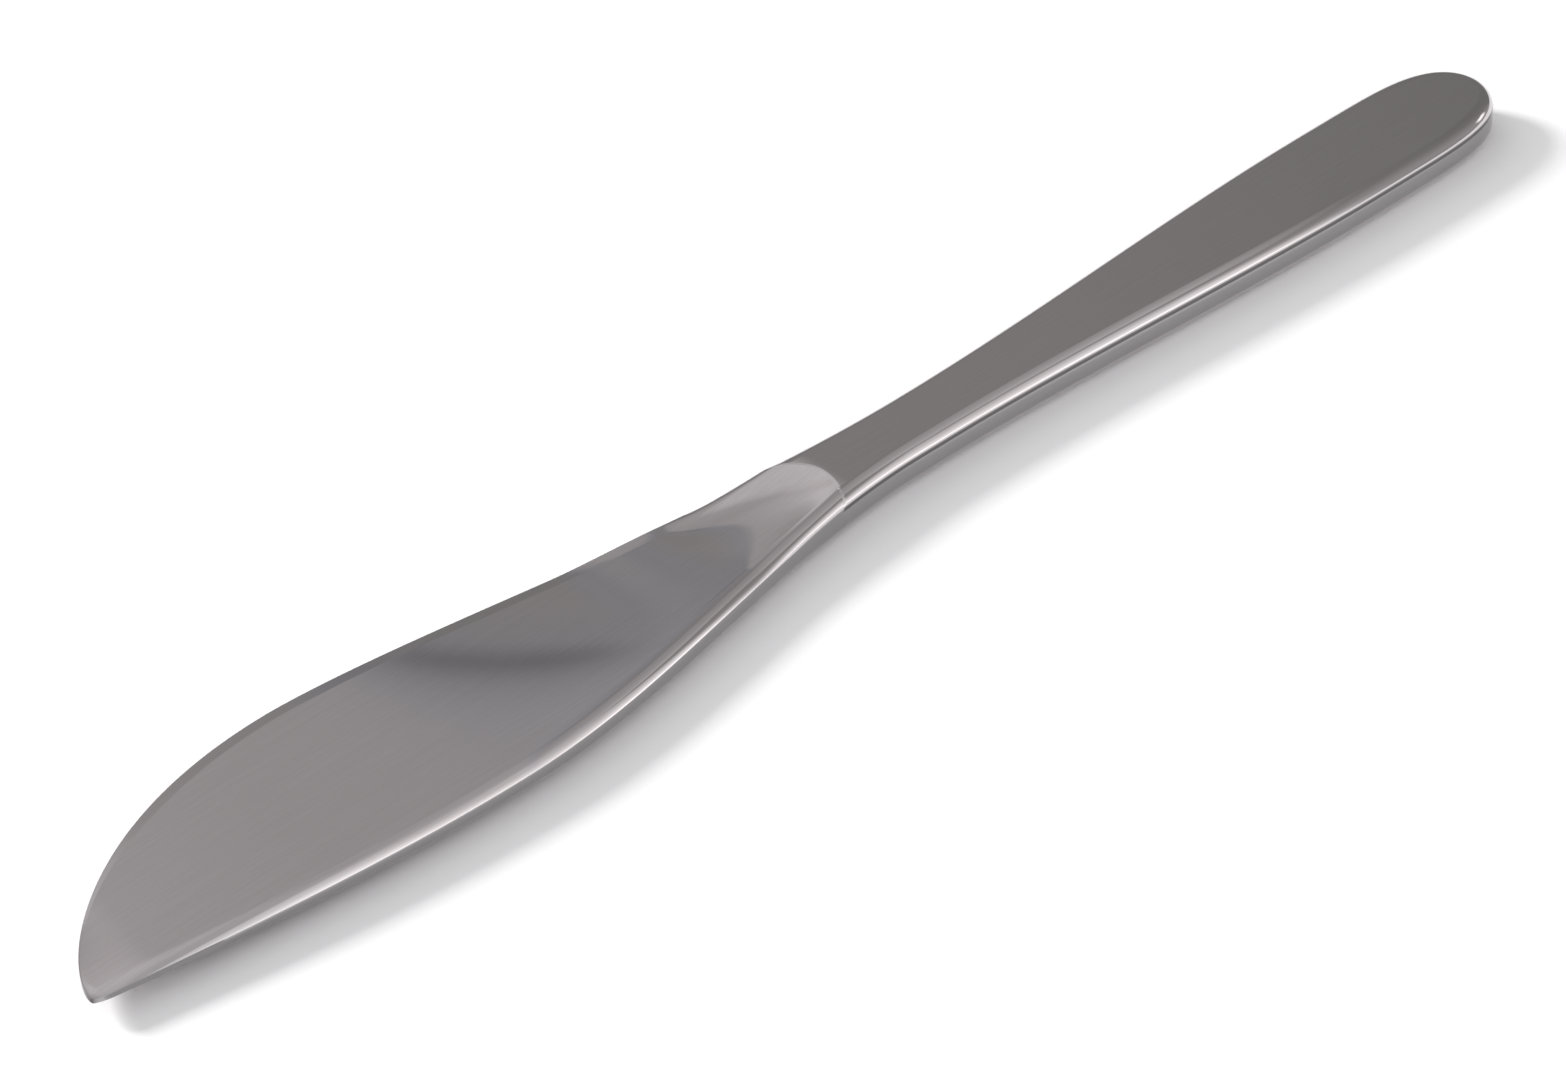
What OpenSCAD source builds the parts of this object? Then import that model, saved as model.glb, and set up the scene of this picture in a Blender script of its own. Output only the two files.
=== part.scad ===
// Table knife with a forged blade and a hollow handle, lying flat on the lower face of the handle.
// The tip is at the -X end and the butt at the +X end. The back of the blade is on the -Y side and the
// cutting edge on the +Y side. The origin is at the middle of the knife's outline, on the surface that it
// rests on. In the formulas, s is the distance from the tip along the handle's axis.

/* [Blade outline] */
// Length from the tip to the mouth of the handle
blade_len = 107.5; // [100:0.5:116]
// Distance from the handle's axis to the cutting edge at the belly
belly_reach = 13.15; // [11:0.05:16]
// Distance from the tip to the fullest point of the belly
belly_at = 41.2; // [36:0.1:46]
// How soon the edge draws in behind the belly, where 1 is an even curve
edge_lead = 0.85; // [0.75:0.01:1]
// Length of the belly's curve that stays close to its fullest line
belly_pull = 27.2; // [20:0.1:32]
// Length of the belly's curve that stays close to the front of the tip
tip_pull = 3.9; // [3:0.1:8]
// Distance from the handle's axis to the back at its fullest point
back_reach = 13.2; // [10:0.05:15]
// Distance from the tip to the fullest point of the back
back_at = 53; // [48:0.5:60]
// Distance from the handle's axis to the line of the back at the tip
tip_drop = 8.15; // [6.5:0.05:9]
// Slant of the back at the tip, in degrees
tip_slant = 8.2; // [6:0.1:10]
// Length of the rounded corner between the back and the front of the tip
tip_round = 2.5; // [1.5:0.1:4]
// Height of that rounded corner
tip_lift = 0.55; // [0.3:0.05:1]

/* [Blade section] */
// Height of the front of the tip
nose_t = 0.56; // [0.4:0.02:0.7]
// Distance from the front of the tip to where the blade's section has its own heights
nose_len = 8; // [4:0.5:15]
// Height of the flat back at the tip
back_t_tip = 0.65; // [0.5:0.05:1.2]
// Height of the flat back where the scoop starts
back_t_root = 1.7; // [1.4:0.05:2.2]
// Radius of the rounded margin between the back and each face
roll_r = 1.65; // [1:0.05:1.8]
// Angle of that rounding, in degrees, from the face to its crisp foot on the back
roll_arc = 67; // [50:1:80]
// Distance from the tip to where that rounding is full
roll_full_at = 30; // [15:1:40]
// Thickness behind the ground edge, where it is full
shoulder_t = 0.8; // [0.6:0.05:1.1]
// Thickness of the ground edge
edge_t = 0.35; // [0.25:0.05:0.5]
// Width of the ground edge, where it is full
bevel_w = 1.4; // [0.8:0.1:2]
// Share of that width at the tip
bevel_tip = 0.15; // [0.1:0.05:1]
// Distance from the tip to where the ground edge is full
bevel_full_at = 30; // [15:1:40]
// Distance from the tip to the end of the ground edge
grind_end = 76; // [60:1:85]
// Thickness of the unground heel
heel_t = 1.5; // [1.2:0.1:2.4]
// Length of the scoop between the blade's face and the mouth of the handle
scoop_len = 17; // [10:0.5:20]
// Hollowness of the scoop along its middle, where 1 is a straight ramp
scoop_power = 2.6; // [1:0.1:3]
// Hollowness of the scoop along its rims
rim_power = 1.3; // [1:0.1:3]

/* [Handle] */
// Length from the mouth to the end of the butt
handle_len = 104.7; // [95:0.1:115]
// Thickness of the handle
handle_t = 5.1; // [4.8:0.1:7]
// Width of the neck
neck_w = 8.65; // [7.8:0.05:10]
// Distance from the mouth to the narrowest part of the neck
neck_from = 10.5; // [8:0.5:13]
// Length of the narrowest part
neck_len = 4.5; // [1:0.5:12]
// Width of the butt at its widest
butt_w = 13.65; // [11:0.05:16]
// Distance from the widest part of the butt to its end
butt_round = 23; // [18:0.5:30]
// Bluntness of the butt, where 2 is an ellipse
butt_power = 5; // [2:0.1:6]
// Radius of the handle's long edges
corner_r = 1.72; // [1.3:0.02:2.1]
// Angle of that rounding, in degrees, from the side to its crease at the flat face
corner_arc = 80; // [70:1:90]
// How far the mouth is bowed towards the tip at the back
back_bow = 1.9; // [1:0.1:3]
// How far it is bowed towards the tip at the edge
edge_bow = 5; // [1:0.1:6]
// Wall of the two shells
wall = 0.9; // [0.6:0.05:1]
// Height of the upper shell's straight rim, between the rounding of its edge and the seam
rim_h = 0.08; // [0.04:0.02:0.3]
// Depth ground off the lower shell to make its rest face flat
rest_skim = 0.02; // [0.01:0.01:0.05]

/* [Inside the handle] */
// Length of the spigot that fills the mouth
spigot_len = 8; // [7:0.5:12]
// Gap between the spigot and the shells
spigot_fit = 0.05; // [0.02:0.01:0.08]
// Length of the tang behind the spigot
tang_len = 38; // [25:1:50]
// Radius of the tang's long edges
tang_r = 0.4; // [0.2:0.1:0.6]
// Cement at each side of the tang, where the handle is narrowest
cement_side = 0.7; // [0.4:0.1:0.9]
// Cement above and below the tang
cement_flat = 0.6; // [0.4:0.1:0.8]
// Cement behind the end of the tang
cement_end = 6; // [3:0.5:10]
// Thickness of the braze bead on the inside of the seam
bead_t = 0.4; // [0.2:0.05:0.5]
// Height of the braze bead
bead_h = 1.0; // [0.6:0.1:1.6]
// Gap between the braze bead and what fills the handle
fill_gap = 0.05; // [0.02:0.01:0.1]
// Empty length between the sand and the end of the butt
fill_short = 12; // [8:0.5:20]

/* [Hidden] */

overall_len = blade_len + handle_len;
mid_z = handle_t / 2;
axis_y = (back_reach - belly_reach) / 2;
scoop_at = blade_len - scoop_len;
neck_at = blade_len + neck_from;
flare_at = neck_at + neck_len;
butt_at = overall_len - butt_round;
spigot_end = blade_len + spigot_len;
tang_end = spigot_end + tang_len;
cement_stop = tang_end + cement_end;
fill_stop = overall_len - fill_short;

// Upper edges of the handle's straight side, outside and inside, and the seam below, above mid thickness
side_top = mid_z - corner_r * sin(corner_arc);
inner_top = mid_z - wall - (corner_r - wall) * sin(corner_arc);
seam_z = side_top - rim_h;

// Sections of the handle and of what fills it: inset of the side, half height, corner radius
outer_skin = [0, mid_z, corner_r];
rest_skin = [0, mid_z + rest_skim, corner_r];
inner_skin = [wall, mid_z - wall, corner_r - wall];
spigot_skin = [wall + spigot_fit, mid_z - wall - spigot_fit, corner_r - wall - spigot_fit];
core_inset = wall + bead_t + fill_gap;
core_skin = [core_inset, mid_z - wall, corner_r - wall];
tang_w = neck_w - 2 * (core_inset + cement_side);
tang_t = handle_t - 2 * (wall + cement_flat);

// A section's upper half runs from the -Y side over the top to the +Y side, in edge rows and face steps
edge_rows = 6;
face_steps = 6;
top_steps = 2 * edge_rows + face_steps;
tip_steps = 12;
belly_steps = 3;
back_steps = 10;
scoop_steps = 6;
spigot_steps = 4;
flare_steps = 14;
butt_steps = 10;
cement_steps = 10;
fill_steps = 8;
// Start of the belly's curve, where the tip is cut off just wide enough to leave a face
tip_start = 0.04;
// Share of the spigot's length along which the bow of the mouth fades out
bow_share = 0.75;
// Largest shares of a narrow section that its rounded margin and its ground edge take
roll_share = 0.45;
bevel_share = 0.3;
slope_step = 0.01;

steel = [0.72, 0.71, 0.71];
braze_colour = [0.80, 0.74, 0.52];
cement_colour = [0.62, 0.60, 0.56];
sand_colour = [0.76, 0.67, 0.50];

function mix(a, b, u) = a + (b - a) * u;
function ease(u) = u * u * (3 - 2 * u);
function unit(v) = v / norm(v);

// Outline of the blade, as distances from the handle's axis

function back_fall(u) =
    let(fall = back_reach - tip_drop, pull = tan(tip_slant) * back_at)
    (3 * fall - pull) * u * u + (pull - 2 * fall) * u * u * u;

function tip_rise(s) =
    s < tip_round ? tip_lift * (1 - sqrt(1 - pow(1 - s / tip_round, 2))) : 0;

function back(s) =
    s < back_at
        ? back_reach - back_fall(1 - s / back_at) - tip_rise(s)
        : mix(back_reach, neck_w / 2, ease(min(1, (s - back_at) / (neck_at - back_at))));

function edge(s) =
    mix(belly_reach, neck_w / 2, ease(pow((s - belly_at) / (flare_at - belly_at), edge_lead)));

// Point on the belly's curve, from the front of the tip at t = 0 to the fullest point at t = 1
function belly(t) =
    let(front = -(tip_drop - tip_lift), k = 1 - t)
    k * k * k * [0, front]
    + 3 * k * k * t * [0, front + tip_pull]
    + 3 * k * t * t * [belly_at - belly_pull, belly_reach]
    + t * t * t * [belly_at, belly_reach];

// Outline of the handle and of the blade's root, on the -Y side or the +Y side

function half_width(s) =
    s < butt_at
        ? mix(neck_w, butt_w, ease((s - flare_at) / (butt_at - flare_at))) / 2
        : butt_w / 2 * sqrt(max(0, 1 - pow((s - butt_at) / butt_round, butt_power)));

function reach(s, way) = s >= flare_at ? half_width(s) : way < 0 ? back(s) : edge(s);

function slope(s, way) = (reach(s + slope_step, way) - reach(s - slope_step, way)) / (2 * slope_step);

function butt_normal(s) =
    let(u = (s - butt_at) / butt_round)
    unit([butt_power * pow(u, butt_power - 1) / butt_round, 8 * half_width(s) / (butt_w * butt_w)]);

function outward(s, way) = s < butt_at ? unit([-slope(s, way), 1]) : butt_normal(s);

function side(s, way, inset) =
    let(n = outward(s, way))
    [s - inset * n[0], way * (reach(s, way) - inset * n[1])];

// Upper halves of sections

function row(c) =
    c <= edge_rows ? c : c >= edge_rows + face_steps ? top_steps - c : edge_rows;

function across(c) =
    c <= edge_rows ? 0 : c >= edge_rows + face_steps ? 1 : (c - edge_rows) / face_steps;

function row_share(j) = j == 0 ? 0 : (j - 1) / (edge_rows - 1);

function row_inset(j, skin) = skin[0] + skin[2] * (1 - cos(corner_arc * row_share(j)));

function row_height(j, skin, low) =
    j == 0 ? low : skin[1] - skin[2] * (sin(corner_arc) - sin(corner_arc * row_share(j)));

// The mouth is bowed more at the edge than at the back, and the bow fades out along the spigot
function bow(s, off_axis) =
    (off_axis < 0 ? back_bow : edge_bow) * off_axis * off_axis
    * max(0, 1 - max(0, s - blade_len) / (bow_share * spigot_len));

function bar_point(s, c, skin, low = 0) =
    let(
        inset = row_inset(row(c), skin),
        off_axis = (2 * across(c) - 1) * (1 - inset / reach(s, -1)),
        at = s - bow(s, off_axis),
        flat = mix(side(at, -1, inset), side(at, 1, inset), across(c))
    )
    [flat[0], flat[1], row_height(row(c), skin, low)];

function bar_top(s, skin, low = 0) = [for (c = [0:top_steps]) bar_point(s, c, skin, low)];

// The last section, at the end of the butt, has no width, so that its rows are on the axis
function butt_end(skin, low) =
    [for (j = [0:edge_rows]) [overall_len - row_inset(j, skin), 0, row_height(j, skin, low)]];

function tang_top(s) =
    let(skin = [0, tang_t / 2, tang_r])
    [for (c = [0:top_steps])
        [s, (2 * across(c) - 1) * (tang_w / 2 - row_inset(row(c), skin)), row_height(row(c), skin, 0)]];

function blade_point(s, c, low_y, high_y) =
    let(
        width = high_y - low_y,
        roll = min(roll_r * sin(roll_arc), roll_share * width),
        radius = roll / sin(roll_arc),
        fall = radius * (1 - pow(max(0, 1 - s / roll_full_at), 2)),
        ground = ease(min(1, s / bevel_full_at)),
        bevel = min(bevel_w * mix(bevel_tip, 1, ground), bevel_share * width),
        plain_t = mix(back_t_tip, back_t_root, s / scoop_at),
        nose = ease(min(1, s / nose_len)),
        back_t = mix(nose_t, plain_t, nose),
        full_t = back_t + 2 * fall * (1 - cos(roll_arc)),
        heel = s < grind_end ? 0 : ease(min(1, (s - grind_end) / (scoop_at - grind_end))),
        behind_t = mix(edge_t, shoulder_t, ground),
        ground_t = mix(nose_t, mix(behind_t, heel_t, heel), nose),
        thin_t = mix(nose_t, mix(edge_t, heel_t, heel), nose),
        share = row_share(row(c)),
        lean = roll_arc * (1 - share),
        from_back = c <= edge_rows
            ? roll - radius * sin(lean)
            : c >= edge_rows + face_steps
                ? width - bevel * share
                : mix(roll, width - bevel, across(c)),
        thick = row(c) == 0 ? 0
            : c <= edge_rows ? full_t - 2 * fall * (1 - cos(lean))
            : c >= edge_rows + face_steps ? mix(thin_t, ground_t, share)
            : mix(full_t, ground_t, across(c))
    )
    [s, low_y + from_back, thick / 2];

function blade_top(s, low_y, high_y) = [for (c = [0:top_steps]) blade_point(s, c, low_y, high_y)];

// Across the scoop, the blade's section turns into the handle's
function scoop_point(u, c) =
    let(
        mouth = bar_point(blade_len, c, outer_skin),
        s = mix(scoop_at, mouth[0], u),
        thin = blade_point(s, c, -back(s), edge(s)),
        inset = row_inset(row(c), outer_skin),
        thick_y = mix(side(s, -1, inset), side(s, 1, inset), across(c))[1],
        power = mix(scoop_power, rim_power, pow(2 * across(c) - 1, 2))
    )
    [s, mix(thin[1], thick_y, ease(u)), mix(thin[2], mouth[2], pow(u, power))];

function scoop_top(u) = [for (c = [0:top_steps]) scoop_point(u, c)];

function ring(top) =
    concat(top, [for (c = [top_steps - 1:-1:1]) [top[c][0], top[c][1], -top[c][2]]]);

// Stations along the handle's shells, from the mouth to just before the end of the butt

function butt_station(k) = butt_at + butt_round * pow(sin(90 * k / butt_steps), 2 / butt_power);

spigot_stations = [for (k = [0:spigot_steps]) mix(blade_len, spigot_end, k / spigot_steps)];
hollow_stations = concat(
    [for (k = [0:flare_steps]) mix(spigot_end, butt_at, k / flare_steps)],
    [for (k = [1:butt_steps - 1]) butt_station(k)]
);
shell_stations = concat(
    [for (k = [0:spigot_steps - 1]) spigot_stations[k]],
    hollow_stations
);

// Solids

function quad(a, b, c, d) = [[a, b, c], [a, c, d]];

function middle(points) = [for (p = points) 1] * points / len(points);

function whole(triangles) =
    [for (t = triangles) if (t[0] != t[1] && t[1] != t[2] && t[2] != t[0]) t];

// Closed solid through rings of as many points each, with a flat face at each end
module loft(rings) {
    n = len(rings[0]);
    last = len(rings) - 1;
    start = len(rings) * n;
    sides = [
        for (k = [0:last - 1])
            for (c = [0:n - 1])
                let(d = (c + 1) % n)
                each quad(k * n + c, k * n + d, (k + 1) * n + d, (k + 1) * n + c)
    ];
    ends = [
        for (c = [0:n - 1])
            let(d = (c + 1) % n)
            each [[start, d, c], [start + 1, last * n + c, last * n + d]]
    ];
    points = concat([for (r = rings) each r], [middle(rings[0]), middle(rings[last])]);
    polyhedron(points, concat(sides, ends));
}

// Half of the hollow handle between two skins, open at the mouth and at the seam, which is at the height low
module half_shell(outside, low) {
    m = len(shell_stations);
    n = top_steps + 1;
    inside = m * n + edge_rows + 1;
    points = [
        for (skin = [outside, inner_skin])
            each concat([for (s = shell_stations) each bar_top(s, skin, low)], butt_end(skin, low))
    ];
    function at(i, c) = i < m ? i * n + c : m * n + row(c);
    walls = [
        for (i = [0:m - 1])
            for (c = [0:top_steps - 1])
                let(p = at(i, c), q = at(i, c + 1), r = at(i + 1, c + 1), t = at(i + 1, c))
                each concat(quad(p, q, r, t), quad(inside + t, inside + r, inside + q, inside + p))
    ];
    seam = [
        for (i = [0:m - 1])
            for (c = [0, top_steps])
                let(p = at(i, c), t = at(i + 1, c))
                each c == 0
                    ? quad(t, inside + t, inside + p, p)
                    : quad(inside + t, t, p, inside + p)
    ];
    mouth = [
        for (c = [0:top_steps - 1])
            each quad(c, inside + c, inside + c + 1, c + 1)
    ];
    polyhedron(points, whole(concat(walls, seam, mouth)));
}

// From the tip and the handle's axis to the middle of the outline, at mid thickness
module place() {
    translate([-overall_len / 2, axis_y, mid_z]) children();
}

module blade() {
    tip = [
        for (k = [0:tip_steps])
            let(p = belly(mix(tip_start, 1, k / tip_steps)))
            blade_top(p[0], -back(p[0]), p[1])
    ];
    face_stations = concat(
        [for (k = [1:belly_steps]) mix(belly_at, back_at, k / belly_steps)],
        [for (k = [1:back_steps]) mix(back_at, scoop_at, k / back_steps)]
    );
    face = [for (s = face_stations) blade_top(s, -back(s), edge(s))];
    scoop = [for (k = [1:scoop_steps]) scoop_top(k / scoop_steps)];
    spigot = [for (s = spigot_stations) bar_top(s, spigot_skin)];
    tang = [tang_top(spigot_end), tang_top(tang_end)];
    color(steel)
        place()
            loft([for (top = concat(tip, face, scoop, spigot, tang)) ring(top)]);
}

module upper_shell() {
    color(steel)
        place()
            half_shell(outer_skin, seam_z);
}

module lower_shell() {
    color(steel)
        difference() {
            place()
                mirror([0, 0, 1])
                    half_shell(rest_skin, -seam_z);
            translate([-overall_len, -butt_w, -handle_t])
                cube([2 * overall_len, 2 * butt_w, handle_t]);
        }
}

module seam_braze() {
    stations = concat(hollow_stations, [overall_len]);
    back_way = [for (k = [len(hollow_stations) - 1:-1:0]) hollow_stations[k]];
    function bead(s, way) =
        let(a = side(s, way, wall), b = side(s, way, wall + bead_t), low = inner_top - bead_h)
        [[a[0], a[1], inner_top], [b[0], b[1], inner_top], [b[0], b[1], low], [a[0], a[1], low]];
    color(braze_colour)
        place()
            loft(concat([for (s = stations) bead(s, -1)], [for (s = back_way) bead(s, 1)]));
}

module tang_cement() {
    socket = [tang_top(tang_end), tang_top(spigot_end)];
    plug = [
        for (k = [0:cement_steps])
            bar_top(mix(spigot_end, cement_stop, k / cement_steps), core_skin)
    ];
    color(cement_colour)
        place()
            loft([for (top = concat(socket, plug)) ring(top)]);
}

module sand_fill() {
    color(sand_colour)
        place()
            loft([
                for (k = [0:fill_steps])
                    ring(bar_top(mix(cement_stop, fill_stop, k / fill_steps), core_skin))
            ]);
}

blade();
upper_shell();
lower_shell();
seam_braze();
tang_cement();
sand_fill();
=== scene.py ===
"""Looks of a stainless steel table knife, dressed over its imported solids.

The blade and the two shells of the hollow handle are drawn out section by section as smooth skins. What is
sealed inside the handle keeps its solids. Lengths are in millimetres until a point is placed in the frame.
"""
import logging
import math
from dataclasses import dataclass, field
from enum import Enum
from typing import Any, Iterable, Sequence

import bmesh
import bpy
from mathutils import Matrix, Vector


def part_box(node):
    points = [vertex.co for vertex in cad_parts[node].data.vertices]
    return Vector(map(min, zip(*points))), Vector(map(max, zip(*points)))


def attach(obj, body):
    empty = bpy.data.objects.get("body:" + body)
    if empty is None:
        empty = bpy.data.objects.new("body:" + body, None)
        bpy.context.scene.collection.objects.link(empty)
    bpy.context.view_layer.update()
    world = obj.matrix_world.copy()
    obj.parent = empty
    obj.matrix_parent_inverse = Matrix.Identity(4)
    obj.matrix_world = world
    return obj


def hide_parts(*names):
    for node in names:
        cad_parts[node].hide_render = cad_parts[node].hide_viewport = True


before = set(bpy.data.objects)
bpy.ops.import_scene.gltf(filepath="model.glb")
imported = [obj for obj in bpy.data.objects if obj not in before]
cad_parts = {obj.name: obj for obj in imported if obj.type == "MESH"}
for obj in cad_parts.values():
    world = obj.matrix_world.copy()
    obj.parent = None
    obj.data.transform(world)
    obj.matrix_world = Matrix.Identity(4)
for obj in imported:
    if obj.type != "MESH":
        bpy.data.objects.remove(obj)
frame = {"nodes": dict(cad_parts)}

MM = 0.001
START_MM = 10.0
MERGE_MM = 0.0005
SMOOTH_BELOW = 30.0
LOG = logging.getLogger("table_knife")

Levels = tuple[tuple[float, float], ...]
Spot = tuple[float, float, float]


class Way(Enum):
    """The two sides of the knife seen from above, with the sign of their Y."""

    BACK = -1
    EDGE = 1


class Half(Enum):
    """The two shells of the handle, with the sign of their Z from mid thickness."""

    UPPER = 1
    LOWER = -1


def mix(a: float, b: float, share: float) -> float:
    """Returns the value at a share of the way from a to b."""
    return a + (b - a) * share


def ease(share: float) -> float:
    """Returns a share that starts and ends gently."""
    share = min(1.0, max(0.0, share))
    return share * share * (3 - 2 * share)


def linear(code: str) -> tuple[float, float, float, float]:
    """Turns an sRGB colour into linear light.

    Args:
        code: Six hexadecimal digits.

    Returns:
        Red, green, blue and an alpha of 1.
    """
    parts = [int(code[i:i + 2], 16) / 255 for i in (0, 2, 4)]
    red, green, blue = (c / 12.92 if c <= 0.04045 else ((c + 0.055) / 1.055) ** 2.4 for c in parts)
    return red, green, blue, 1.0


def add_node(
    tree: bpy.types.NodeTree,
    kind: str,
    values: dict[Any, Any] | None = None,
    links: dict[Any, bpy.types.NodeSocket] | None = None,
    stops: Sequence[tuple[float, float | str]] = (),
    **settings: Any,
) -> bpy.types.Node:
    """Adds a node to a shader.

    Args:
        tree: Shader that gets the node.
        kind: Type of the node.
        values: Constants, by the name or number of the input.
        links: Outputs that feed it, by the name or number of the input.
        stops: Place of each stop of a colour ramp, with its grey or its colour in hexadecimal digits.
        settings: The node's own options.

    Returns:
        The new node.
    """
    node = tree.nodes.new(kind)
    for name, value in settings.items():
        setattr(node, name, value)
    for name, value in (values or {}).items():
        node.inputs[name].default_value = value
    for name, source in (links or {}).items():
        tree.links.new(source, node.inputs[name])
    if stops:
        marks = node.color_ramp.elements
        while len(marks) < len(stops):
            marks.new(1.0)
        for mark, (place, shade) in zip(marks, stops):
            mark.position = place
            mark.color = linear(shade) if isinstance(shade, str) else (shade, shade, shade, 1.0)
    return node


@dataclass
class Outline:
    """The knife seen from above. s is the distance from the tip along the handle's axis."""

    blade_len: float = 107.5
    belly_reach: float = 13.15
    belly_at: float = 41.2
    edge_lead: float = 0.85
    belly_pull: float = 27.2
    tip_pull: float = 3.9
    back_reach: float = 13.2
    back_at: float = 53.0
    tip_drop: float = 8.15
    tip_slant: float = 8.2
    tip_round: float = 2.5
    tip_lift: float = 0.55
    handle_len: float = 104.7
    neck_w: float = 8.65
    neck_from: float = 10.5
    neck_len: float = 4.5
    butt_w: float = 13.65
    butt_round: float = 23.0
    butt_power: float = 5.0
    slope_step: float = 0.01
    overall_len: float = field(init=False)
    neck_at: float = field(init=False)
    flare_at: float = field(init=False)
    butt_at: float = field(init=False)

    def __post_init__(self) -> None:
        """Works out the stations that follow from the sizes."""
        self.overall_len = self.blade_len + self.handle_len
        self.neck_at = self.blade_len + self.neck_from
        self.flare_at = self.neck_at + self.neck_len
        self.butt_at = self.overall_len - self.butt_round

    def back(self, s: float) -> float:
        """Finds the line of the blade's back.

        Args:
            s: Station.

        Returns:
            Its distance from the axis.
        """
        if s >= self.back_at:
            share = min(1.0, (s - self.back_at) / (self.neck_at - self.back_at))
            return mix(self.back_reach, self.neck_w / 2, ease(share))
        u = 1 - s / self.back_at
        fall = self.back_reach - self.tip_drop
        pull = math.tan(math.radians(self.tip_slant)) * self.back_at
        rise = 0.0
        if s < self.tip_round:
            rise = self.tip_lift * (1 - math.sqrt(1 - (1 - s / self.tip_round) ** 2))
        return self.back_reach - (3 * fall - pull) * u * u - (pull - 2 * fall) * u ** 3 - rise

    def edge(self, s: float) -> float:
        """Returns the distance from the axis to the cutting edge behind the belly."""
        share = (s - self.belly_at) / (self.flare_at - self.belly_at)
        return mix(self.belly_reach, self.neck_w / 2, ease(share ** self.edge_lead))

    def belly(self, t: float) -> tuple[float, float]:
        """Finds a point on the edge's curve from the front of the tip to the belly.

        Args:
            t: Place along the curve, from 0 at the tip to 1 at the fullest point.

        Returns:
            Its s and y.
        """
        front = self.tip_lift - self.tip_drop
        k = 1 - t
        s = 3 * k * t * t * (self.belly_at - self.belly_pull) + t ** 3 * self.belly_at
        y = (
            k ** 3 * front
            + 3 * k * k * t * (front + self.tip_pull)
            + (3 * k * t * t + t ** 3) * self.belly_reach
        )
        return s, y

    def reach(self, s: float, way: Way) -> float:
        """Finds a side of the handle or of the blade's root.

        Args:
            s: Station.
            way: Which side.

        Returns:
            Its distance from the axis.
        """
        if s >= self.butt_at:
            u = min(1.0, (s - self.butt_at) / self.butt_round)
            return self.butt_w / 2 * math.sqrt(max(0.0, 1 - u ** self.butt_power))
        if s >= self.flare_at:
            share = (s - self.flare_at) / (self.butt_at - self.flare_at)
            return mix(self.neck_w, self.butt_w, ease(share)) / 2
        return self.back(s) if way is Way.BACK else self.edge(s)

    def outward(self, s: float, way: Way) -> tuple[float, float]:
        """Finds the way that a side faces.

        Args:
            s: Station.
            way: Which side.

        Returns:
            Its unit normal, as the parts along the axis and away from it.
        """
        if s < self.butt_at:
            rise = self.reach(s + self.slope_step, way) - self.reach(s - self.slope_step, way)
            normal = (-rise / (2 * self.slope_step), 1.0)
        else:
            u = (s - self.butt_at) / self.butt_round
            normal = (
                self.butt_power * u ** (self.butt_power - 1) / self.butt_round,
                8 * self.reach(s, way) / self.butt_w ** 2,
            )
        length = math.hypot(*normal)
        return normal[0] / length, normal[1] / length

    def side(self, s: float, way: Way, inset: float) -> tuple[float, float]:
        """Returns s and y of a point that lies inside a side by an inset."""
        along, away = self.outward(s, way)
        return s - inset * along, way.value * (self.reach(s, way) - inset * away)

    def butt_station(self, share: float) -> float:
        """Returns the station at a share of the way round the butt."""
        return self.butt_at + self.butt_round * math.sin(share * math.pi / 2) ** (2 / self.butt_power)


@dataclass(frozen=True)
class Column:
    """One point of the upper half of a section, which runs from the back over the top to the edge."""

    row: int
    share: float
    across: float

    def turn(self, arc: float = 90.0) -> float:
        """Returns the angle round a margin's arc of so many degrees, from its foot to the flat face."""
        return math.radians(self.share * arc)


@dataclass
class Grid:
    """Division of a section's upper half into rows at each margin and steps across the face."""

    edge_rows: int = 16
    face_steps: int = 20
    crowding: float = 1.3
    columns: list[Column] = field(init=False)

    def __post_init__(self) -> None:
        """Lists the columns."""
        last = 2 * self.edge_rows + self.face_steps
        self.columns = [self._column(c, last) for c in range(last + 1)]

    def _column(self, c: int, last: int) -> Column:
        """Places a column in its section.

        Args:
            c: Number of the column.
            last: Number of the last one. The first and the last are the feet of the sides.

        Returns:
            The column.
        """
        row = min(c, last - c, self.edge_rows)
        across = min(1.0, max(0.0, (c - self.edge_rows) / self.face_steps))
        share = max(0, row - 1) / (self.edge_rows - 1)
        return Column(row, share ** self.crowding, across)


@dataclass(frozen=True)
class BarSection:
    """Section of the handle and of what lies inside it."""

    inset: float
    half_t: float
    radius: float
    arc: float = 90.0
    foot: float = 0.0

    def depth(self, column: Column) -> float:
        """Returns how far a column lies inside the side."""
        return self.inset + self.radius * (1 - math.cos(column.turn(self.arc)))

    def height(self, column: Column) -> float:
        """Finds how high a column lies.

        Args:
            column: Column of the section.

        Returns:
            Its height above mid thickness.
        """
        if column.row == 0:
            return self.foot
        drop = math.sin(math.radians(self.arc)) - math.sin(column.turn(self.arc))
        return self.half_t - self.radius * drop


@dataclass
class Frame:
    """Place of the knife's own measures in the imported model."""

    outline: Outline
    axis_y: float = field(init=False)
    handle_t: float = field(init=False)
    end_x: float = field(init=False)

    def __post_init__(self) -> None:
        """Reads the handle's axis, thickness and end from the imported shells."""
        low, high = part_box("upper_shell")
        self.axis_y = (low.y + high.y) / 2 / MM
        self.handle_t = high.z / MM
        self.end_x = high.x / MM

    def point(self, s: float, y: float, z: float) -> Vector:
        """Returns a point in the frame from its station, its Y off the axis and its Z off mid thickness."""
        x = s - self.outline.overall_len + self.end_x
        return Vector((x, y + self.axis_y, z + self.handle_t / 2)) * MM


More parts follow.
